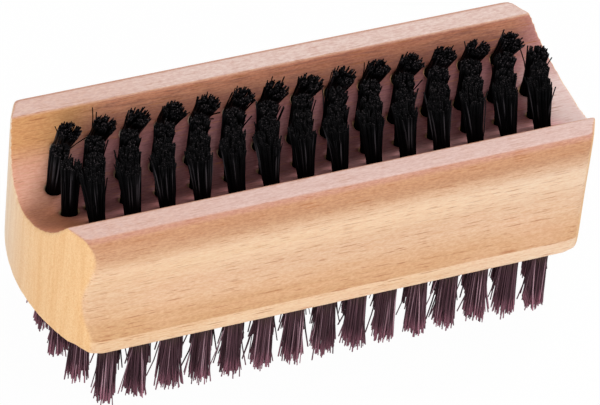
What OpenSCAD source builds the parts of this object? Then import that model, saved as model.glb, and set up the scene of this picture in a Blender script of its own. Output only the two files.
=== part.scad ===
// Wooden nail brush: a beech block with bristle tufts on both faces.
// The origin is under the middle of the block, on the plane where the long tufts' tips end.
// X runs along the block, the front is -Y, and the channel with the short tufts faces up.

/* [Block] */
// Length over the rounded ends
block_len = 95; // [70:0.5:130]
// Width across the lower ridges
block_w = 38.4; // [35:0.2:46]
// Thickness of the wood
block_h = 23.5; // [22:0.5:30]
// Plan radius of each rounded end
end_r = 34.3; // [25:0.1:60]
// How far each side of the underside is drawn in from the ridge
underside_inset = 0.2; // [0:0.05:0.8]

/* [Finger coves] */
// Depth of each cove below the ridge
cove_depth = 2.2; // [1.6:0.1:2.6]
// Radius of the hollow
cove_r = 11; // [8:0.5:14]
// Height of the deepest line above the underside
cove_z = 10.4; // [9.6:0.1:12]
// Slope of the flank below the hollow
flank_low_deg = 22.5; // [18:0.5:26]
// Slope of the flank above the hollow
flank_up_deg = 15.5; // [12:0.5:18]
// Radius of the rounded shoulder
shoulder_r = 4.5; // [3:0.1:5.5]
// Steepness of the shoulder where it meets the land
land_edge_deg = 60; // [50:1:70]

/* [Channel] */
// Width between the inner edges of the lands
channel_w = 26; // [23:0.5:29]
// Depth at the middle
channel_depth = 7.15; // [6:0.05:8]

/* [Upper tufts] */
// Spacing of the tufts along a row
upper_pitch = 5.84; // [5.7:0.02:7]
// Distance of the inner rows from the middle
upper_inner_y = 2.9; // [2.8:0.05:3.1]
// Distance of the outer rows from the middle
upper_outer_y = 8.8; // [8.7:0.1:9.6]
// Lean of the front outer row towards the middle
front_outer_lean = 25; // [22:1:26]
// Lean of the front inner row towards the middle
front_inner_lean = 4; // [3:0.5:5]
// Lean of the back inner row towards the middle
back_inner_lean = 10; // [6:1:11]
// Lean of the back outer row towards the middle
back_outer_lean = 28; // [24:1:30]
// How far the front inner row is drilled to the left of the gaps in the outer row
front_inner_shift = 1.3; // [0.9:0.1:1.4]
// How far the first tuft of the front inner row is drawn in from the row's end
front_inner_inset = 0.5; // [0:0.1:0.6]
// Bore of the holes
upper_hole_d = 2.8; // [2.4:0.1:3.2]
// Depth of the holes
upper_hole_depth = 6.5; // [5:0.1:7]
// Radius of a tuft at its trimmed end
upper_tip_r = 1.7; // [1.5:0.05:1.75]
// How far the trimmed ends stand above the lands
upper_stand = 2.8; // [2:0.1:3.2]

/* [Lower tufts] */
// Spacing of the tufts along a row, before the row is spread to fit the ends
lower_pitch = 5.31; // [5:0.01:6.5]
// Spacing of the six rows
lower_row_pitch = 6.12; // [5:0.02:6.3]
// Bore of the holes
lower_hole_d = 3; // [2.6:0.1:3.2]
// Depth of the holes
lower_hole_depth = 6.5; // [5:0.1:7]
// Radius of a tuft at its trimmed end
lower_tip_r = 2; // [1.6:0.05:2.2]
// Free length of the tufts
lower_len = 14; // [10:0.5:20]

/* [Anchors] */
// Thickness of the flat wire
anchor_t = 0.5; // [0.4:0.05:0.7]
// Height of the flat wire
anchor_h = 1.8; // [1.4:0.1:2.2]
// How far each end bites into the wood
anchor_bite = 0.4; // [0.2:0.05:0.6]

/* [Fits] */
// Gap round a tuft in its hole and round an anchor in its slot
fit_clear = 0.05; // [0.03:0.01:0.1]
// Distance kept between the last tuft of a row and the rounded end
end_margin = 6.5; // [5.5:0.1:9]

/* [Hidden] */

wood = "burlywood";
short_hair = "black";
long_hair = "#4a3036";
steel = "silver";
hole_fn = 24;
$fn = 96;

// One overrun serves all cuts
over = 1;

// Side profile, measured from the middle of the block and from its underside
ridge_y = block_w / 2;
cove_y = ridge_y - cove_depth + cove_r;
low_y = cove_y - cove_r * cos(flank_low_deg);
low_z = cove_z - cove_r * sin(flank_low_deg);
ridge_z = low_z - (ridge_y - low_y) / tan(flank_low_deg);
up_y = cove_y - cove_r * cos(flank_up_deg);
up_z = cove_z + cove_r * sin(flank_up_deg);
shoulder_z = block_h - shoulder_r * sin(land_edge_deg);
flank_rise = shoulder_z - shoulder_r * sin(flank_up_deg) - up_z;
shoulder_y = up_y + flank_rise * tan(flank_up_deg) - shoulder_r * cos(flank_up_deg);

// The straight flanks run a little way into each round, so that every meeting is a clean crossing
round_share = 0.98;

// The channel is a round hollow, and its centre line lies above the lands
channel_r = (channel_w * channel_w / 4 + channel_depth * channel_depth) / (2 * channel_depth);
channel_cz = block_h - channel_depth + channel_r;

// Plan of the rounded ends
end_x = block_len / 2 - end_r;

// Rows from front to back: place across the block, and lean towards its middle
upper_y = [-upper_outer_y, -upper_inner_y, upper_inner_y, upper_outer_y];
upper_lean = [-front_outer_lean, -front_inner_lean, back_inner_lean, back_outer_lean];
lower_rows = 6;

// A tuft is a bundle in three clumps, each a four-sided strand that spreads from the root plug
strands = 3;
strand_arc_share = 0.87;
root_core_share = 0.1;
tip_core_share = 0.3;
strand_root_share = 0.95;
strand_sink = 0.6;
anchor_seat = 1.2;

function end_at(y) = end_x + sqrt(end_r * end_r - y * y);
function channel_z(y) = channel_cz - sqrt(channel_r * channel_r - y * y);
function spread(n, pitch) = [for (i = [0 : n - 1]) (i - (n - 1) / 2) * pitch];

// The inner rows reach to the end margin, and the outer rows stand in the gaps of the back inner row.
// The front inner row is drilled a little to the left, all but its first tuft, which keeps to the end.
upper_span = 2 * (end_at(upper_inner_y) - end_margin);
upper_n = round(upper_span / upper_pitch) + 1;
upper_step = upper_span / (upper_n - 1);
front_inner_first = front_inner_inset - upper_span / 2;
function upper_x(row) =
    row == 1 ? [for (x = spread(upper_n, upper_step)) max(x - front_inner_shift, front_inner_first)]
    : spread(row == 2 ? upper_n : upper_n - 1, upper_step);

// Each lower row is spread evenly between its own end margins
function lower_y(row) = (row - (lower_rows + 1) / 2) * lower_row_pitch;
function lower_span(row) = 2 * (end_at(lower_y(row)) - end_margin);
function lower_n(row) = round(lower_span(row) / lower_pitch) + 1;
function lower_x(row) = spread(lower_n(row), lower_span(row) / (lower_n(row) - 1));

// A point just inside a round, where a straight flank ends
function on_round(y, z, r, angle) = [y + round_share * r * cos(angle), z + round_share * r * sin(angle)];

module side_half() {
    polygon([
        [0, 0],
        [ridge_y - underside_inset, 0],
        [ridge_y, ridge_z],
        on_round(cove_y, cove_z, -cove_r, flank_low_deg),
        on_round(cove_y, cove_z, -cove_r, -flank_up_deg),
        on_round(shoulder_y, shoulder_z, shoulder_r, -flank_up_deg),
        [shoulder_y, block_h],
        [0, block_h]
    ]);
    intersection() {
        translate([shoulder_y, shoulder_z]) circle(shoulder_r);
        square([block_w, block_h]);
    }
}

module block_profile() {
    difference() {
        union() {
            side_half();
            mirror([1, 0]) side_half();
        }
        for (side = [-1, 1]) translate([side * cove_y, cove_z]) circle(cove_r);
        translate([0, channel_cz]) circle(channel_r);
    }
}

// Everything on the inner side of one rounded end
module end_mask(side) {
    translate([side * end_x, 0]) circle(end_r);
    translate([side * (end_x - block_len / 2), 0]) square([block_len, 2 * end_r], center = true);
}

module block_plan() {
    intersection() {
        end_mask(-1);
        end_mask(1);
    }
}

// Places its children at every hole of one upper row, with z along the hole and out of the wood
module at_upper(row) {
    for (x = upper_x(row))
        translate([x, upper_y[row], lower_len + channel_z(upper_y[row])])
            rotate([upper_lean[row], 0, 0]) children();
}

// Places its children at every hole of one lower row, with z along the hole and out of the wood
module at_lower(row) {
    for (x = lower_x(row))
        translate([x, lower_y(row), lower_len]) rotate([180, 0, 0]) children();
}

module anchor(hole_d, depth, grow) {
    translate([0, 0, anchor_seat + anchor_h / 2 - depth])
        cube([hole_d + 2 * anchor_bite + 2 * grow, anchor_t + 2 * grow, anchor_h + 2 * grow], center = true);
}

module blind_hole(hole_d, depth) {
    translate([0, 0, -depth]) cylinder(d = hole_d, h = depth + over, $fn = hole_fn);
    anchor(hole_d, depth, fit_clear);
}

module block() color(wood) {
    difference() {
        translate([0, 0, lower_len]) intersection() {
            rotate([90, 0, 90]) linear_extrude(block_len + 2 * over, center = true) block_profile();
            translate([0, 0, -over]) linear_extrude(block_h + 2 * over) block_plan();
        }
        for (row = [0 : 3]) at_upper(row) blind_hole(upper_hole_d, upper_hole_depth);
        for (row = [1 : lower_rows]) at_lower(row) blind_hole(lower_hole_d, lower_hole_depth);
    }
}

// Corners of one clump's section: towards the core, then three on the tuft's outside
function clump(mid, r, core_share) = [
    [core_share * r * cos(mid), core_share * r * sin(mid)],
    for (k = [-1, 0, 1]) let (a = mid + k * strand_arc_share * 180 / strands) [r * cos(a), r * sin(a)]
];

// One strand, from inside the plug to the flat trim; tilt is the hole's lean from the trim's normal
module strand(mid, root_r, tip_r, reach, tilt) {
    root = [for (p = clump(mid, root_r, root_core_share)) [p[0], p[1], -strand_sink]];
    tip = [for (p = clump(mid, tip_r, tip_core_share)) [p[0], p[1], (reach - p[1] * sin(tilt)) / cos(tilt)]];
    polyhedron(
        points = concat(root, tip),
        faces = concat(
            [[0, 1, 2], [0, 2, 3], [4, 6, 5], [4, 7, 6]],
            [for (i = [0 : 3]) [i, i + 4, (i + 1) % 4 + 4]],
            [for (i = [0 : 3]) [i, (i + 1) % 4 + 4, (i + 1) % 4]]
        )
    );
}

// One tuft: the folded root fills its hole round the anchor, and the strands rise from it
module tuft(hole_d, depth, tip_r, reach, tilt) {
    plug_r = hole_d / 2 - fit_clear;
    difference() {
        translate([0, 0, fit_clear - depth]) cylinder(r = plug_r, h = depth - fit_clear, $fn = hole_fn);
        anchor(hole_d, depth, fit_clear);
    }
    for (k = [0 : strands - 1])
        strand(90 + k * 360 / strands, plug_r * strand_root_share, tip_r, reach, tilt);
}

module upper_tufts(row) color(short_hair) {
    at_upper(row) tuft(
        upper_hole_d, upper_hole_depth, upper_tip_r,
        block_h + upper_stand - channel_z(upper_y[row]), upper_lean[row]
    );
}

module lower_tufts(row) color(long_hair) {
    at_lower(row) tuft(lower_hole_d, lower_hole_depth, lower_tip_r, lower_len, 0);
}

module upper_anchors(row) color(steel) {
    at_upper(row) anchor(upper_hole_d, upper_hole_depth, 0);
}

module lower_anchors(row) color(steel) {
    at_lower(row) anchor(lower_hole_d, lower_hole_depth, 0);
}

block();
upper_tufts(0);  // upper_tufts_front_outer
upper_tufts(1);  // upper_tufts_front_inner
upper_tufts(2);  // upper_tufts_back_inner
upper_tufts(3);  // upper_tufts_back_outer
lower_tufts(1);  // lower_tufts_row_1
lower_tufts(2);  // lower_tufts_row_2
lower_tufts(3);  // lower_tufts_row_3
lower_tufts(4);  // lower_tufts_row_4
lower_tufts(5);  // lower_tufts_row_5
lower_tufts(6);  // lower_tufts_row_6
upper_anchors(0);  // upper_anchors_front_outer
upper_anchors(1);  // upper_anchors_front_inner
upper_anchors(2);  // upper_anchors_back_inner
upper_anchors(3);  // upper_anchors_back_outer
lower_anchors(1);  // lower_anchors_row_1
lower_anchors(2);  // lower_anchors_row_2
lower_anchors(3);  // lower_anchors_row_3
lower_anchors(4);  // lower_anchors_row_4
lower_anchors(5);  // lower_anchors_row_5
lower_anchors(6);  // lower_anchors_row_6
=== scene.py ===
"""Wooden nail brush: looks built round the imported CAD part.

The scene is in metres, in the CAD part's frame. The numbers written here are millimetres and degrees.
"""
import math

import bpy
import numpy as np
from mathutils import Matrix, Vector


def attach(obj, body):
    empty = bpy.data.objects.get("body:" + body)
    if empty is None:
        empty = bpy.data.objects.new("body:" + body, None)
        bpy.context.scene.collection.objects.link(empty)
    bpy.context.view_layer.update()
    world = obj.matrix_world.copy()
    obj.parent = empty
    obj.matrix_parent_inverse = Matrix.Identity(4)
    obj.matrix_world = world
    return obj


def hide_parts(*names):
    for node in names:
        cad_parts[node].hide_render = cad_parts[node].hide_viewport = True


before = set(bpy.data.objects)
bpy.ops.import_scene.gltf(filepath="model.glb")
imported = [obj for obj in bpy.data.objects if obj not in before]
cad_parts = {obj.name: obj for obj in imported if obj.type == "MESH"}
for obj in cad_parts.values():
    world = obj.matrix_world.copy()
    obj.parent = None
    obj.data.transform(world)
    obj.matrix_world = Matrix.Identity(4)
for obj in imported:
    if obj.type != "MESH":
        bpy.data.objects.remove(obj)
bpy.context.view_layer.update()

MM = 0.001

# Sizes of the CAD part
BLOCK_LEN = 95.0
BLOCK_W = 38.4
BLOCK_H = 23.5
END_R = 34.3
RIDGE_H = 2.9
CHANNEL_W = 26.0
CHANNEL_DEPTH = 7.15
UPPER_PITCH = 5.84
UPPER_INNER_Y = 2.9
UPPER_OUTER_Y = 8.8
FRONT_OUTER_LEAN = 25.0
FRONT_INNER_LEAN = 4.0
BACK_INNER_LEAN = 10.0
BACK_OUTER_LEAN = 28.0
FRONT_INNER_SHIFT = 1.3
FRONT_INNER_INSET = 0.5
UPPER_HOLE_D = 2.8
UPPER_STAND = 2.8
LOWER_PITCH = 5.31
LOWER_ROW_PITCH = 6.12
LOWER_HOLE_D = 3.0
LOWER_LEN = 14.0
END_MARGIN = 6.5
FIT_CLEAR = 0.05
LOWER_ROWS = 6

# What follows from them
END_X = BLOCK_LEN / 2 - END_R
SIDE_Y = BLOCK_W / 2
CHANNEL_R = (CHANNEL_W ** 2 / 4 + CHANNEL_DEPTH ** 2) / (2 * CHANNEL_DEPTH)
CHANNEL_CZ = BLOCK_H - CHANNEL_DEPTH + CHANNEL_R
LAND_Z = LOWER_LEN + BLOCK_H
FLOOR_Z = LAND_Z - CHANNEL_DEPTH
RIDGE_Z = LOWER_LEN + RIDGE_H


def end_at(y):
    """Where the rounded end lies, at this place across the block."""
    return END_X + math.sqrt(END_R ** 2 - y * y)


def channel_z(y):
    """Height of the channel's hollow above the underside of the wood."""
    return CHANNEL_CZ - math.sqrt(CHANNEL_R ** 2 - y * y)


def spread(n, pitch):
    """n places along a row, about its middle."""
    return [(i - (n - 1) / 2) * pitch for i in range(n)]


def direction(azimuth, elevation):
    """Unit vector from the brush towards a place at these angles, in radians; azimuth 0 is in front."""
    return np.array([
        math.sin(azimuth) * math.cos(elevation),
        -math.cos(azimuth) * math.cos(elevation),
        math.sin(elevation),
    ])


def linked(obj):
    """The object, after it is put into the scene."""
    bpy.context.scene.collection.objects.link(obj)
    return obj


# Camera
# The photograph's camera, from a fit of its edges: a long lens, turned a little about its own axis.
# The middle of the block's underside lies this far to the right of the picture's middle, and above it.
CAM_AZIMUTH, CAM_ELEVATION, CAM_ROLL = (math.radians(a) for a in (-25.715, 42.884, 6.185))
CAM_DISTANCE = 809.673
CAM_TO_RIGHT, CAM_TO_TOP = -1.069, -3.645
CAM_LENS, CAM_SENSOR = 300.0, 36.0
CAM_NEAR, CAM_FAR = 50.0, 20000.0


def make_camera():
    """The scene's camera, where the photograph's stood."""
    back = direction(CAM_AZIMUTH, CAM_ELEVATION)
    level = np.array([math.cos(CAM_AZIMUTH), math.sin(CAM_AZIMUTH), 0.0])
    upright = np.cross(back, level)
    right = level * math.cos(CAM_ROLL) + upright * math.sin(CAM_ROLL)
    up = upright * math.cos(CAM_ROLL) - level * math.sin(CAM_ROLL)
    place = back * CAM_DISTANCE - right * CAM_TO_RIGHT - up * CAM_TO_TOP + np.array([0, 0, LOWER_LEN])
    data = bpy.data.cameras.new("camera")
    data.lens = CAM_LENS
    data.sensor_width = CAM_SENSOR
    data.clip_start = CAM_NEAR * MM
    data.clip_end = CAM_FAR * MM
    camera = linked(bpy.data.objects.new("camera", data))
    camera.matrix_world = Matrix([(*right, 0), (*up, 0), (*back, 0), (*(place * MM), 1)]).transposed()
    bpy.context.scene.camera = camera


# Node helpers
class Tree:
    """Short calls for a material's node tree."""

    def __init__(self, name):
        self.mat = bpy.data.materials.new(name)
        self.mat.use_nodes = True
        self.nt = self.mat.node_tree
        self.nt.nodes.clear()
        self.out = self.nt.nodes.new("ShaderNodeOutputMaterial")

    def node(self, kind, **settings):
        n = self.nt.nodes.new("ShaderNode" + kind)
        for key, value in settings.items():
            setattr(n, key, value)
        return n

    def put(self, socket, value):
        """Gives a socket another socket's output or a value; a colour's three values get an alpha."""
        if isinstance(value, bpy.types.NodeSocket):
            self.nt.links.new(value, socket)
        elif isinstance(value, tuple) and socket.type == "RGBA":
            socket.default_value = (*value, 1.0)
        else:
            socket.default_value = value

    def math(self, op, a, b=0.0, c=0.0):
        n = self.node("Math", operation=op)
        for socket, value in zip(n.inputs, (a, b, c)):
            self.put(socket, value)
        return n.outputs[0]

    def times(self, a, b):
        return self.math("MULTIPLY", a, b)

    def smooth(self, value, low, high, full=1.0):
        """0 below low, full above high, smooth between; high may be under low."""
        n = self.node("MapRange", interpolation_type="SMOOTHSTEP")
        self.put(n.inputs["Value"], value)
        self.put(n.inputs["From Min"], low)
        self.put(n.inputs["From Max"], high)
        self.put(n.inputs["To Max"], full)
        return n.outputs[0]

    def mix(self, share, a, b, blend="MIX"):
        """Colour a with this share of colour b. The colour sockets follow those for numbers and vectors."""
        n = self.node("Mix", data_type="RGBA", blend_type=blend)
        self.put(n.inputs[0], share)
        self.put(n.inputs[6], a)
        self.put(n.inputs[7], b)
        return n.outputs[2]

    def split(self, vector):
        """The three parts of a vector."""
        n = self.node("SeparateXYZ")
        self.put(n.inputs[0], vector)
        return n.outputs

    def split_color(self, color):
        """The three parts of a colour."""
        n = self.node("SeparateColor")
        self.put(n.inputs[0], color)
        return n.outputs

    def place(self):
        """Where the shaded point is on its object, in millimetres."""
        n = self.node("VectorMath", operation="SCALE")
        self.put(n.inputs[0], self.node("TexCoord").outputs["Object"])
        self.put(n.inputs["Scale"], 1 / MM)
        return n.outputs[0]

    def stretched(self, place, size):
        """A place in millimetres divided by a size along each axis."""
        n = self.node("VectorMath", operation="DIVIDE")
        self.put(n.inputs[0], place)
        self.put(n.inputs[1], size)
        return n.outputs[0]

    def noise(self, place, size, detail, rough, distort=0.0):
        """Noise about 0.5, whose grains have this size along each axis."""
        n = self.node("TexNoise")
        self.put(n.inputs["Vector"], self.stretched(place, size))
        self.put(n.inputs["Scale"], 1.0)
        self.put(n.inputs["Detail"], detail)
        self.put(n.inputs["Roughness"], rough)
        self.put(n.inputs["Distortion"], distort)
        return n.outputs["Fac"]

    def attribute(self, name):
        return self.node("Attribute", attribute_name=name).outputs["Fac"]

    def bump(self, height, strength, distance):
        n = self.node("Bump")
        self.put(n.inputs["Strength"], strength)
        self.put(n.inputs["Distance"], distance * MM)
        self.put(n.inputs["Height"], height)
        return n.outputs["Normal"]

    def principled(self, color, rough, normal=None, metallic=0.0, specular=0.5):
        n = self.node("BsdfPrincipled")
        self.put(n.inputs["Base Color"], color)
        self.put(n.inputs["Roughness"], rough)
        self.put(n.inputs["Metallic"], metallic)
        self.put(n.inputs["Specular IOR Level"], specular)
        if normal is not None:
            self.put(n.inputs["Normal"], normal)
        self.nt.links.new(n.outputs[0], self.out.inputs[0])


def srgb(r, g, b):
    """Linear colour from 0 to 255 values of the screen."""
    return tuple(((c / 255 + 0.055) / 1.055) ** 2.4 if c > 10 else c / 255 / 12.92 for c in (r, g, b))


# Wood
class Beech(Tree):
    """The block's wood: each kind of face has its own tones, and all share one figure of bands and fibres."""

    # Sizes of the figure along, across and up the block, in millimetres
    BANDS = (90, 3.2, 2.6)
    FIBRES = (5, 0.28, 0.28)
    DRIFT = (22, 9, 9)
    MOTTLE = (0.9, 0.4, 0.4)
    STREAKS = (30, 0.9, 16)
    PORES = (4, 0.34, 0.55)
    SPECKS = (0.7, 0.22, 0.22)

    # Distances from a cell's centre at which its dash begins and is at its darkest, in cells
    DASH_EDGE, DASH_CORE = 0.34, 0.119

    # How far the slow drift moves the tones of the sides up and down
    SIDE_WAVE = 1.6

    # How far the starts of the channel's end tones move along the block for each millimetre up
    LEFT_SLANT, RIGHT_SLANT = 1.33, 0.55

    # How strongly each part of the figure shows, and what share of the dashes is lost on the lands
    LINE_STRENGTH = 0.44
    DASH_STRENGTH = 0.82
    DASH_LOSS_ON_LAND = 0.5
    SPECK_STRENGTH = 0.22
    RIM_STRENGTH = 1.3

    # The finish: the wood's roughness, what its fibres add to it, and how its figure stands out
    ROUGHNESS, FIBRE_ROUGHNESS = 0.46, 0.16
    BUMP_STRENGTH, BUMP_DEPTH = 0.25, 0.06

    def __init__(self):
        super().__init__("beech")
        self.point = self.place()
        self.x, self.y, self.z = self.split(self.point)
        self.across = self.math("ABSOLUTE", self.y)
        self.make_figure()
        self.find_faces()

    def make_figure(self):
        """Long soft bands, fine lines along the fibres, a slow drift of tone and a fine mottle."""
        bands = self.noise(self.point, self.BANDS, detail=3.0, rough=0.55, distort=0.6)
        self.stripe = self.smooth(bands, 0.33, 0.7)
        self.fibres = self.noise(self.point, self.FIBRES, detail=4.0, rough=0.65)
        self.line = self.smooth(self.fibres, 0.42, 0.75, full=self.LINE_STRENGTH)
        self.drift = self.noise(self.point, self.DRIFT, detail=2.0, rough=0.5)
        self.mottle = self.noise(self.point, self.MOTTLE, detail=4.0, rough=0.7)

    def find_faces(self):
        """1 on the rounded ends, on the lands, and on the rims of the lands."""
        facing_x, _, facing_z = self.split(self.node("NewGeometry").outputs["Normal"])
        self.on_end = self.smooth(self.math("ABSOLUTE", facing_x), 0.35, 0.75)
        land_high = self.smooth(self.z, LAND_Z - 0.5, LAND_Z - 0.1)
        self.on_land = self.times(land_high, self.smooth(facing_z, 0.93, 0.995))
        rim_high = self.smooth(self.z, LAND_Z - 0.8, LAND_Z - 0.2)
        self.on_rim = self.times(rim_high, self.smooth(facing_z, 0.5, 0.8))

    def striped(self, light, dark):
        """A tone between the bands, and a darker one in them."""
        return self.mix(self.stripe, srgb(*light), srgb(*dark))

    def side(self):
        """From the foot up: pale foot, warm ridge, then paler and paler up the hollow."""
        wavy_z = self.math("MULTIPLY_ADD", self.math("SUBTRACT", self.drift, 0.5), self.SIDE_WAVE, self.z)
        on_ridge = self.smooth(self.z, RIDGE_Z, RIDGE_Z + 0.2)
        in_hollow = self.smooth(wavy_z, RIDGE_Z + 0.6, RIDGE_Z + 7.1)
        above_hollow = self.smooth(wavy_z, RIDGE_Z + 6.6, RIDGE_Z + 12.6)
        in_drift = self.smooth(self.drift, 0.5, 0.72, full=0.2)
        to_left = self.smooth(self.x, -8.0, -40.0, full=0.22)
        to_right = self.smooth(self.x, 8.0, 36.0, full=0.35)
        sunlit = srgb(246, 220, 196)
        foot = self.mix(to_right, self.striped((246, 211, 174), (237, 197, 157)), sunlit)
        ridge = self.striped((222, 173, 130), (210, 159, 113))
        hollow = self.striped((236, 198, 165), (228, 186, 151))
        top = self.mix(to_right, self.striped((246, 211, 176), (238, 201, 162)), sunlit)
        tone = self.mix(on_ridge, foot, ridge)
        tone = self.mix(in_hollow, tone, hollow)
        tone = self.mix(above_hollow, tone, top)
        tone = self.mix(in_drift, tone, srgb(242, 193, 164))
        tone = self.mix(to_left, tone, srgb(226, 182, 130))
        return self.mix(self.line, tone, srgb(216, 160, 112))

    def with_shoulder(self, body):
        """Brown towards the land's outer edge, and mottled pink on the edge itself."""
        rising = self.smooth(self.z, LAND_Z - 6.9, LAND_Z - 0.9)
        outside = self.smooth(self.across, SIDE_Y - 3.4, SIDE_Y - 2.6)
        shoulder = self.mix(self.line, self.striped((207, 153, 114), (195, 139, 100)), srgb(184, 124, 88))
        body = self.mix(self.times(rising, outside), body, shoulder)
        rim = self.times(self.on_rim, self.times(self.mottle, self.RIM_STRENGTH))
        return self.mix(rim, body, srgb(204, 146, 128))

    def channel_middle(self):
        """Brown walls, and a mauve floor between the tufts that is rosy in front. Painted shade: the walls
        darken to the right and down towards the floor, and the floor is dark at the back among the tufts.
        Painted light: the rosy front of the floor grows paler to the right.
        """
        at_back = self.smooth(self.y, -7.2, -3.6)
        low = self.smooth(self.z, LAND_Z - 0.9, LAND_Z - 2.9)
        at_floor = self.smooth(self.z, LAND_Z - 3.2, LAND_Z - 5.3)
        wall_shade_to_right = self.smooth(self.x, -5.0, 20.0, full=0.5)
        low_shade_to_right = self.smooth(self.x, 5.0, 30.0)
        floor_light_to_right = self.smooth(self.x, -20.0, 18.0)
        in_fibre = self.smooth(self.fibres, 0.45, 0.66, full=0.42)
        # Painted shade: the walls are darker to the right, and darker still lower down towards the floor.
        wall = self.mix(wall_shade_to_right, self.striped((220, 150, 114), (205, 130, 98)), srgb(188, 116, 88))
        shaded_back_low = self.mix(low_shade_to_right, srgb(162, 101, 80), srgb(145, 86, 69))
        shaded_low_wall = self.mix(at_back, srgb(196, 132, 118), shaded_back_low)
        # Painted shade on the floor at the back among the tufts, and painted light on its front, which grows
        # paler to the right.
        front_floor = self.mix(floor_light_to_right, srgb(232, 152, 150), srgb(255, 184, 182))
        floor = self.mix(at_back, front_floor, srgb(162, 96, 98))
        tone = self.mix(at_floor, self.mix(low, wall, shaded_low_wall), floor)
        return self.mix(in_fibre, tone, srgb(112, 60, 64))

    def channel_left(self):
        """Golden at the back, and brown in front, where the brown is painted shade."""
        low = self.smooth(self.z, LAND_Z - 3.0, LAND_Z - 6.0)
        shaded_front = self.smooth(self.y, 4.2, -2.8)
        golden = self.mix(low, srgb(215, 154, 98), srgb(231, 168, 142))
        # Painted shade: the front half turns brown.
        tone = self.mix(shaded_front, golden, srgb(182, 114, 84))
        return self.mix(self.line, tone, srgb(196, 132, 84))

    def channel_right(self):
        """As pale as the land in front, and rosy at the back, where the darker tone is painted shade of the
        last tufts.
        """
        at_back = self.smooth(self.y, 2.0, 9.0)
        # Painted shade: the back is darker as well as rosy.
        tone = self.mix(at_back, srgb(242, 211, 204), srgb(196, 130, 124))
        return self.mix(self.line, tone, srgb(214, 164, 148))

    def with_channel(self, body):
        """The channel, whose end tones begin along lines that slant with the height."""
        at_left = self.smooth(self.math("MULTIPLY_ADD", self.z, -self.LEFT_SLANT, self.x), -77.0, -84.5)
        at_right = self.smooth(self.math("MULTIPLY_ADD", self.z, -self.RIGHT_SLANT, self.x), 21.2, 26.6)
        tone = self.mix(at_left, self.channel_middle(), self.channel_left())
        tone = self.mix(at_right, tone, self.channel_right())
        between_lands = self.smooth(self.across, CHANNEL_W / 2 + 0.3, CHANNEL_W / 2 - 0.1)
        under_lands = self.smooth(self.z, LAND_Z + 0.1, LAND_Z - 0.3)
        over_floor = self.smooth(self.z, FLOOR_Z - 1.35, FLOOR_Z - 0.35)
        inside = self.times(self.times(between_lands, under_lands), over_floor)
        return self.mix(inside, body, tone)

    def with_lands(self, body):
        """Pink lands, warmer to the left, with a fine mottle."""
        at_back = self.smooth(self.y, -6.0, 6.0)
        to_left = self.smooth(self.x, -10.0, -34.0, full=0.7)
        in_mottle = self.smooth(self.mottle, 0.36, 0.70)
        tone = self.mix(at_back, srgb(222, 188, 179), srgb(231, 205, 195))
        tone = self.mix(to_left, tone, srgb(222, 180, 162))
        tone = self.mix(in_mottle, tone, srgb(218, 182, 171))
        tone = self.mix(self.line, tone, srgb(208, 160, 144))
        return self.mix(self.on_land, body, tone)

    def with_ends(self, body):
        """The ends show the fibres end on: yellower, faintly streaked upright, and paler at the left back,
        where the paler tone is painted light.
        """
        streak = self.smooth(self.noise(self.point, self.STREAKS, detail=3.0, rough=0.6), 0.35, 0.7)
        pores = self.noise(self.point, self.PORES, detail=4.0, rough=0.7)
        in_pore = self.smooth(pores, 0.42, 0.7, full=0.4)
        in_lit_pale_pore = self.smooth(pores, 0.5, 0.8, full=0.35)
        left_back = self.times(self.smooth(self.y, -8.0, 14.0), self.smooth(self.x, 10.0, -10.0))
        tone = self.mix(streak, srgb(241, 197, 144), srgb(234, 184, 127))
        tone = self.mix(in_pore, tone, srgb(220, 166, 108))
        # Painted light: the paler tone towards the left back of the ends.
        lit_pale = self.mix(streak, srgb(243, 219, 193), srgb(233, 204, 172))
        lit_pale = self.mix(in_lit_pale_pore, lit_pale, srgb(216, 178, 138))
        return self.mix(self.on_end, body, self.mix(left_back, tone, lit_pale))

    def dashes(self, length, width, kept, seed):
        """Short dark dashes along X: stretched cells, of which a share is kept. 1 inside the darkest dash."""
        shifted = self.node("VectorMath", operation="ADD")
        self.put(shifted.inputs[0], self.stretched(self.point, (length, width, width)))
        self.put(shifted.inputs[1], (seed, seed * 1.7, seed * 2.3))
        cells = self.node("TexVoronoi", feature="F1")
        self.put(cells.inputs["Vector"], shifted.outputs[0])
        self.put(cells.inputs["Scale"], 1.0)
        self.put(cells.inputs["Randomness"], 0.85)
        chance, darkness, _ = self.split_color(cells.outputs["Color"])
        near = self.smooth(cells.outputs["Distance"], self.DASH_EDGE, self.DASH_CORE)
        shown = self.times(near, self.math("LESS_THAN", chance, kept))
        return self.times(shown, self.math("MULTIPLY_ADD", darkness, 0.6, 0.4))

    def marks(self):
        """Rays and vessel lines: dashes of two sizes, weaker on the lands and none on the ends."""
        long_dashes = self.dashes(length=7.0, width=0.42, kept=0.5, seed=3.0)
        short_dashes = self.dashes(length=3.6, width=0.30, kept=0.42, seed=11.0)
        dashes = self.math("MAXIMUM", long_dashes, short_dashes)
        hidden = self.math("MAXIMUM", self.on_end, self.times(self.on_land, self.DASH_LOSS_ON_LAND))
        return self.times(dashes, self.math("SUBTRACT", 1.0, hidden))

    def with_specks(self, body):
        """Fine pores everywhere, as light as dark."""
        specks = self.smooth(self.noise(self.point, self.SPECKS, detail=2.0, rough=0.6), 0.3, 0.7)
        return self.mix(self.SPECK_STRENGTH, body, specks, "SOFT_LIGHT")

    def material(self):
        body = self.with_ends(self.with_lands(self.with_channel(self.with_shoulder(self.side()))))
        marks = self.marks()
        body = self.mix(self.times(marks, self.DASH_STRENGTH), body, srgb(180, 110, 62))
        rough = self.math("MULTIPLY_ADD", self.fibres, self.FIBRE_ROUGHNESS, self.ROUGHNESS)
        height = self.times(self.math("SUBTRACT", self.fibres, marks), 0.5)
        bump = self.bump(height, self.BUMP_STRENGTH, self.BUMP_DEPTH)
        self.principled(self.with_specks(body), rough, bump)
        return self.mat


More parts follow.
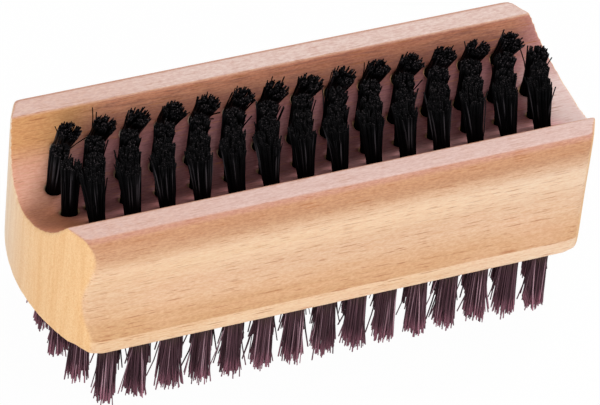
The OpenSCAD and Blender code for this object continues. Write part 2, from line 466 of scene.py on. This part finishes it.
# Bristles
# A bristle is a closed strand of four sides, with a ring of corners at each of these shares of its length.
# The first ring lies this far down in the hole.
SIDES = 4
RING_SHARES = np.array([0.0, 0.0, 0.35, 0.7, 1.0])
CORNERS = len(RING_SHARES) * SIDES
ROOT_DEPTH = 3.2

# How a tuft's bristles stand, and how they differ from each other
GOLDEN_ANGLE = math.pi * (3 - math.sqrt(5))
PLUG_SLACK = 0.1
EARLY_FLARE = 0.45
ROOT_SCATTER = 0.03
CLUMPS = 9
CLUMP_SPREAD = 0.85
CLUMP_PULL = 0.22
STRAY_REACH = (0.6, 2.0)
SHORTNESS = (1.1, 2.2)
BOW = 0.10
THICKNESS = (0.85, 1.15)
TONE_MEAN, TONE_SPREAD = 0.42, 0.28

# Of one tuft: its bristles, how far short of the trim they may end, how widely their tips scatter,
# what share of them strays, and a bristle's radius
UPPER_SHAPE = {"count": 150, "short": 0.25, "splay": 0.15, "strays": 0.02, "hair_r": 0.115}
LOWER_SHAPE = {"count": 140, "short": 2.8, "splay": 0.19, "strays": 0.13, "hair_r": 0.11}

# How far a tuft spreads at its trim
FRONT_OUTER_TIP_R = 2.25
INNER_TIP_R = 1.75
BACK_OUTER_TIP_R = 1.95
LOWER_TIP_R = 1.85


def bristle_material(name, root, dark, light, lighter_strand_and_highlight, tip, cut):
    """Hair, each strand of its own tone: dull near the wood, some strands light, and the cut ends in dots.
    The light strands are painted highlights, on the brown hair partly paler strands too; the dots on the
    black hair's cut ends are painted highlights.

    The tone and the place along the strand are kept on the mesh.
    """
    t = Tree(name)
    tone = t.attribute("tone")
    along = t.attribute("along")
    _, _, facing_z = t.split(t.node("NewGeometry").outputs["True Normal"])
    dust = t.noise(t.place(), (0.5, 0.5, 1.2), detail=2.0, rough=0.6)
    pale = t.smooth(tone, 0.1, 0.75)
    pale_cut = t.smooth(tone, 0.42, 0.95)
    lighter_and_highlighted = t.times(t.smooth(tone, 0.66, 0.9), t.smooth(along, 0.1, 0.5))
    at_root = t.smooth(along, 0.4, 0.0)
    at_tip = t.times(t.smooth(along, 0.7, 1.0), t.math("MULTIPLY_ADD", tone, 0.8, 0.2))
    on_cut = t.smooth(t.math("ABSOLUTE", facing_z), 0.62, 0.78)
    color = t.mix(pale, dark, light)
    # Painted highlight: some strands lighter along their upper part.
    color = t.mix(lighter_and_highlighted, color, lighter_strand_and_highlight)
    color = t.mix(at_root, color, root)
    color = t.mix(at_tip, color, tip)
    color = t.mix(on_cut, color, t.mix(pale_cut, light, cut))
    t.principled(color, t.math("MULTIPLY_ADD", dust, 0.25, 0.35), specular=0.03)
    return t.mat


def short_black():
    # Painted highlights: the lightest strand colour and the cut-end colour.
    return bristle_material(
        "short_black_bristle",
        root=srgb(2, 1, 1),
        dark=srgb(1, 1, 2),
        light=srgb(10, 9, 11),
        lighter_strand_and_highlight=srgb(66, 62, 66),
        tip=srgb(10, 9, 10),
        cut=srgb(66, 59, 61),
    )


def long_brown():
    # The lightest strand colour is partly paler strands and partly painted highlight.
    return bristle_material(
        "long_brown_bristle",
        root=srgb(82, 68, 60),
        dark=srgb(62, 42, 48),
        light=srgb(104, 74, 84),
        lighter_strand_and_highlight=srgb(186, 150, 162),
        tip=srgb(200, 134, 154),
        cut=srgb(200, 134, 154),
    )


def upper_axes(lean):
    """Rows are a tuft's own axes: along the row, across it, and along the hole out of the wood."""
    a = math.radians(lean)
    return np.array([[1, 0, 0], [0, math.cos(a), math.sin(a)], [0, -math.sin(a), math.cos(a)]])


# The same for the tufts below, which point straight down
LOWER_AXES = np.array([[1, 0, 0], [0, -1, 0], [0, 0, -1]])


def strands(rng, root_r, tip_r, reach, lean, count, short, splay, strays, hair_r):
    """One tuft's bristles in its own axes: their centre lines, count x 5 x 3, and their radii."""
    number = np.arange(count)
    r = root_r * np.sqrt((number + 0.5) / count)
    a = number * GOLDEN_ANGLE + rng.uniform(0, 2 * math.pi)
    root = np.stack([r * np.cos(a), r * np.sin(a)], 1) + rng.normal(0, ROOT_SCATTER, (count, 2))
    tip = root * (tip_r / root_r) + rng.normal(0, splay, (count, 2))
    # Bristles gather in a few clumps towards the cut end
    clumps = rng.uniform(-1, 1, (CLUMPS, 2)) * tip_r * CLUMP_SPREAD
    nearest = clumps[np.argmin(((tip[:, None] - clumps[None]) ** 2).sum(2), 1)]
    tip += (nearest - tip) * CLUMP_PULL
    # A few stand away from the rest
    out = rng.random(count) < strays
    heading = rng.uniform(0, 2 * math.pi, count)
    away = np.stack([np.cos(heading), np.sin(heading)], 1)
    tip[out] += away[out] * rng.uniform(*STRAY_REACH, (out.sum(), 1))
    # The trim is level also where the tuft leans, and the thickest strand's end stays below it
    tilt = math.radians(lean)
    end_rise = THICKNESS[1] * hair_r * math.sin(abs(tilt))
    full = (reach - tip[:, 1] * math.sin(tilt) - end_rise) / math.cos(tilt)
    length = full - short * rng.beta(*SHORTNESS, count)
    bow = rng.normal(0, BOW, (count, 2))
    lines = np.zeros((count, len(RING_SHARES), 3))
    for k, s in enumerate(RING_SHARES):
        flare = EARLY_FLARE * s + (1 - EARLY_FLARE) * s * s
        bent = 4 * s * (1 - s)
        lines[:, k, :2] = root + (tip - root) * flare + bow * bent
        lines[:, k, 2] = length * s
    lines[:, 0, 2] = -ROOT_DEPTH
    return lines, hair_r * rng.uniform(*THICKNESS, count)


def strand_faces():
    """Corner numbers of one strand's faces: its sides ring by ring, then its foot and its tip."""
    sides = [
        [ring + c, ring + d, ring + SIDES + d, ring + SIDES + c]
        for ring in range(0, CORNERS - SIDES, SIDES)
        for c, d in zip(range(SIDES), [*range(1, SIDES), 0])
    ]
    foot = [*reversed(range(SIDES))]
    tip = [*range(CORNERS - SIDES, CORNERS)]
    return np.array([*sides, foot, tip])


SEED_FACTOR, SEED_LIMIT = 131, 2147483647


def seed_of(name):
    """A seed from a name, the same on every run."""
    total = 0
    for letter in name:
        total = (total * SEED_FACTOR + ord(letter)) % SEED_LIMIT
    return total


def dressed(piece, node):
    """Rides the piece on the part's one body, in place of this CAD node."""
    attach(piece, "root")
    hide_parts(node)


def smooth_piece(name, mesh, material):
    """A piece from a mesh, smooth shaded and all of one material."""
    mesh.materials.clear()
    mesh.materials.append(material)
    mesh.polygons.foreach_set("use_smooth", [True] * len(mesh.polygons))
    mesh.update()
    return linked(bpy.data.objects.new(name, mesh))


def bristle_row(name, spots, axes, material, **shape):
    """One row of tufts as one mesh, with a strand for every bristle, each rooted inside its hole."""
    rng = np.random.default_rng(seed_of(name))
    corner = np.arange(SIDES) * 2 * math.pi / SIDES
    points, tones, alongs = [], [], []
    for spot in spots:
        lines, radius = strands(rng, **shape)
        count = len(lines)
        angle = corner[None] + rng.uniform(0, 2 * math.pi, count)[:, None]
        ring = np.stack([np.cos(angle), np.sin(angle), np.zeros_like(angle)], 2) * radius[:, None, None]
        points.append((lines[:, :, None] + ring[:, None]).reshape(-1, 3) @ axes + np.array(spot))
        tone = np.clip(rng.normal(TONE_MEAN, TONE_SPREAD, count), 0, 1)
        tones.append(np.repeat(tone, CORNERS))
        alongs.append(np.tile(np.repeat(RING_SHARES, SIDES), count))
    points = np.concatenate(points)
    first_corners = np.arange(0, len(points), CORNERS)
    faces = (first_corners[:, None, None] + strand_faces()).reshape(-1, SIDES)
    mesh = bpy.data.meshes.new(name)
    mesh.from_pydata((points * MM).tolist(), [], faces.tolist())
    for key, values in (("tone", tones), ("along", alongs)):
        values = np.concatenate(values).astype(np.float32)
        mesh.attributes.new(key, "FLOAT", "POINT").data.foreach_set("value", values)
    return smooth_piece(name, mesh, material)


def upper_bristles():
    """The four rows in the channel. The outer rows stand in the gaps of the back inner row."""
    material = short_black()
    row_len = 2 * (end_at(UPPER_INNER_Y) - END_MARGIN)
    n = round(row_len / UPPER_PITCH) + 1
    step = row_len / (n - 1)
    in_gaps = spread(n - 1, step)
    to_ends = spread(n, step)
    moved_left = [max(x - FRONT_INNER_SHIFT, FRONT_INNER_INSET - row_len / 2) for x in to_ends]
    rows = {
        "front_outer": (-UPPER_OUTER_Y, -FRONT_OUTER_LEAN, FRONT_OUTER_TIP_R, in_gaps),
        "front_inner": (-UPPER_INNER_Y, -FRONT_INNER_LEAN, INNER_TIP_R, moved_left),
        "back_inner": (UPPER_INNER_Y, BACK_INNER_LEAN, INNER_TIP_R, to_ends),
        "back_outer": (UPPER_OUTER_Y, BACK_OUTER_LEAN, BACK_OUTER_TIP_R, in_gaps),
    }
    for row, (y, lean, tip_r, places) in rows.items():
        hole_z = channel_z(y)
        piece = bristle_row(
            "bristles_upper_" + row,
            [(x, y, LOWER_LEN + hole_z) for x in places],
            upper_axes(lean),
            material,
            root_r=UPPER_HOLE_D / 2 - FIT_CLEAR - PLUG_SLACK,
            tip_r=tip_r,
            reach=BLOCK_H + UPPER_STAND - hole_z,
            lean=lean,
            **UPPER_SHAPE,
        )
        dressed(piece, "upper_tufts_" + row)


def lower_bristles():
    """The six rows under the block, each spread evenly between the rounded ends."""
    material = long_brown()
    for row in range(1, LOWER_ROWS + 1):
        y = (row - (LOWER_ROWS + 1) / 2) * LOWER_ROW_PITCH
        row_len = 2 * (end_at(y) - END_MARGIN)
        n = round(row_len / LOWER_PITCH) + 1
        piece = bristle_row(
            f"bristles_lower_row_{row}",
            [(x, y, LOWER_LEN) for x in spread(n, row_len / (n - 1))],
            LOWER_AXES,
            material,
            root_r=LOWER_HOLE_D / 2 - FIT_CLEAR - PLUG_SLACK,
            tip_r=LOWER_TIP_R,
            reach=LOWER_LEN,
            lean=0.0,
            **LOWER_SHAPE,
        )
        dressed(piece, f"lower_tufts_row_{row}")


# Carried-over CAD nodes
def wire_steel():
    """Drawn wire, with fine scratches along it."""
    t = Tree("anchor_wire")
    scratch = t.noise(t.place(), (2.0, 0.1, 0.1), detail=3.0, rough=0.6)
    color = t.mix(scratch, srgb(176, 176, 172), srgb(206, 205, 200))
    t.principled(color, t.math("MULTIPLY_ADD", scratch, 0.2, 0.3), metallic=1.0)
    return t.mat


def dress_anchors():
    """The anchors stay as the CAD made them, hidden in their holes, and get their steel."""
    steel = wire_steel()
    for name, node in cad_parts.items():
        if "anchors" in name:
            node.data.materials.clear()
            node.data.materials.append(steel)


# Block
# The sanding: an even net over the CAD block, smoothed in rounds, then thinned to a share of its faces.
# The channel's edges keep a share of their crispness.
NET_SIZE = 0.3
EDGE_ROUNDS = 10
CORNER_ROUNDS = 32
RELAX_STEP = 0.5
CHANNEL_EDGE_KEPT = 0.7
THINNED_SHARE = 0.25


def relaxed(points, edges, weight, rounds):
    """Each point drawn towards the mean of its neighbours, by its own weight: edges round off, faces stay."""
    count = len(points)
    ends = np.concatenate([edges, edges[:, ::-1]])
    degree = np.bincount(ends[:, 0], minlength=count)[:, None]
    for _ in range(rounds):
        total = np.stack([np.bincount(ends[:, 0], points[ends[:, 1], k], count) for k in range(3)], 1)
        mean = total / degree
        points = points + RELAX_STEP * weight[:, None] * (mean - points)
    return points


def ramp(value, low, high):
    """0 below low, 1 above high, smooth between; high may be under low."""
    s = np.clip((value - low) / (high - low), 0, 1)
    return s * s * (3 - 2 * s)


def near_channel_edge(across, z):
    """1 at the channel's upper walls and edges, which stay crisper than the other edges."""
    inside_lands = ramp(across, CHANNEL_W / 2 + 1.6, CHANNEL_W / 2 + 0.8)
    high_up = ramp(z, LAND_Z - 3.5, LAND_Z - 2.0)
    return inside_lands * high_up


def near_end_corner(along, across, z):
    """1 where a side meets a rounded end, fading out below the land and away from the corner."""
    to_end = END_X + np.sqrt(END_R ** 2 - across ** 2) - along
    at_end = ramp(to_end, 2.2, 0.8)
    at_side = ramp(across, SIDE_Y - 4.4, SIDE_Y - 3.2)
    below_land = ramp(z, LAND_Z - 0.5, LAND_Z - 3.0)
    return at_end * at_side * below_land


def modified(mesh, kind, **settings):
    """A new mesh: the given one with a modifier of this kind applied."""
    carrier = linked(bpy.data.objects.new("carrier", mesh))
    step = carrier.modifiers.new("step", kind)
    for key, value in settings.items():
        setattr(step, key, value)
    result = bpy.data.meshes.new_from_object(carrier.evaluated_get(bpy.context.evaluated_depsgraph_get()))
    bpy.data.objects.remove(carrier)
    return result


def sanded_block():
    """The CAD block with its edges sanded a little, and more at the corners of its ends."""
    mesh = modified(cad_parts["block"].data.copy(), "REMESH", mode="VOXEL", voxel_size=NET_SIZE * MM)
    points = np.empty(len(mesh.vertices) * 3)
    mesh.vertices.foreach_get("co", points)
    points = points.reshape(-1, 3) / MM
    edges = np.empty(len(mesh.edges) * 2, dtype=np.int32)
    mesh.edges.foreach_get("vertices", edges)
    edges = edges.reshape(-1, 2)
    across = np.abs(points[:, 1])
    everywhere = 1 - CHANNEL_EDGE_KEPT * near_channel_edge(across, points[:, 2])
    points = relaxed(points, edges, everywhere, EDGE_ROUNDS)
    corners = near_end_corner(np.abs(points[:, 0]), across, points[:, 2])
    points = relaxed(points, edges, corners, CORNER_ROUNDS)
    mesh.vertices.foreach_set("co", (points * MM).ravel())
    mesh.update()
    mesh = modified(mesh, "DECIMATE", ratio=THINNED_SHARE)
    dressed(smooth_piece("block_beech", mesh, Beech().material()), "block")


# Light and floor
LAMP_DISTANCE = 700.0
LAMP_AIM_Z = 20.0
WORLD_STRENGTH = 0.45
FLOOR_GREY = (0.92, 0.92, 0.92, 1.0)
WHITE = (1.0, 1.0, 1.0, 1.0)
FLOOR_GLOW = 0.975
FLOOR_HALF = 3000.0
FLOOR_DROP = 0.05


def area_light(name, azimuth, elevation, size, watts):
    """A round soft lamp at these angles, aimed at the brush."""
    back = Vector(direction(math.radians(azimuth), math.radians(elevation)))
    data = bpy.data.lights.new(name, "AREA")
    data.shape = "DISK"
    data.size = size * MM
    data.energy = watts
    lamp = linked(bpy.data.objects.new(name, data))
    lamp.location = (back * LAMP_DISTANCE + Vector((0, 0, LAMP_AIM_Z))) * MM
    lamp.rotation_mode = "QUATERNION"
    lamp.rotation_quaternion = back.to_track_quat("Z", "Y")


def seen_directly(nt):
    """1 for camera, glossy and transmission rays."""
    path = nt.nodes.new("ShaderNodeLightPath")
    total = path.outputs["Is Camera Ray"]
    for name in ("Is Glossy Ray", "Is Transmission Ray"):
        either = nt.nodes.new("ShaderNodeMath")
        either.operation = "MAXIMUM"
        nt.links.new(total, either.inputs[0])
        nt.links.new(path.outputs[name], either.inputs[1])
        total = either.outputs[0]
    return total


def background(nt, strength):
    """A plain white background of this strength."""
    n = nt.nodes.new("ShaderNodeBackground")
    n.inputs["Color"].default_value = WHITE
    n.inputs["Strength"].default_value = strength
    return n.outputs[0]


def make_world():
    """Soft even light on the brush, and plain white where the world is seen."""
    world = bpy.data.worlds.new("studio")
    bpy.context.scene.world = world
    world.use_nodes = True
    nt = world.node_tree
    nt.nodes.clear()
    out = nt.nodes.new("ShaderNodeOutputWorld")
    mix = nt.nodes.new("ShaderNodeMixShader")
    nt.links.new(seen_directly(nt), mix.inputs[0])
    nt.links.new(background(nt, WORLD_STRENGTH), mix.inputs[1])
    nt.links.new(background(nt, 1.0), mix.inputs[2])
    nt.links.new(mix.outputs[0], out.inputs[0])


def floor_material():
    """Pale grey, which glows nearly white where it is seen and keeps a faint shadow."""
    t = Tree("studio_floor")
    diffuse = t.node("BsdfDiffuse")
    diffuse.inputs["Color"].default_value = FLOOR_GREY
    glow = t.node("Emission")
    glow.inputs["Color"].default_value = WHITE
    glow.inputs["Strength"].default_value = 1.0
    mix = t.node("MixShader")
    t.put(mix.inputs[0], t.times(seen_directly(t.nt), FLOOR_GLOW))
    t.put(mix.inputs[1], diffuse.outputs[0])
    t.put(mix.inputs[2], glow.outputs[0])
    t.put(t.out.inputs[0], mix.outputs[0])
    return t.mat


def make_floor():
    """A plain square just under the long bristles' tips."""
    corners = [(-1, -1), (1, -1), (1, 1), (-1, 1)]
    mesh = bpy.data.meshes.new("floor")
    mesh.from_pydata([(x * FLOOR_HALF * MM, y * FLOOR_HALF * MM, 0) for x, y in corners], [], [(0, 1, 2, 3)])
    mesh.materials.append(floor_material())
    floor = linked(bpy.data.objects.new("floor", mesh))
    floor.location.z = -FLOOR_DROP * MM


make_camera()
upper_bristles()
lower_bristles()
dress_anchors()
sanded_block()
area_light("key", azimuth=-30, elevation=22, size=500, watts=2.22)
area_light("top", azimuth=125, elevation=60, size=200, watts=1.5)
area_light("left", azimuth=-110, elevation=10, size=400, watts=0.62)
area_light("right", azimuth=80, elevation=35, size=400, watts=0.8)
make_world()
make_floor()

view = bpy.context.scene.view_settings
view.view_transform = "Standard"
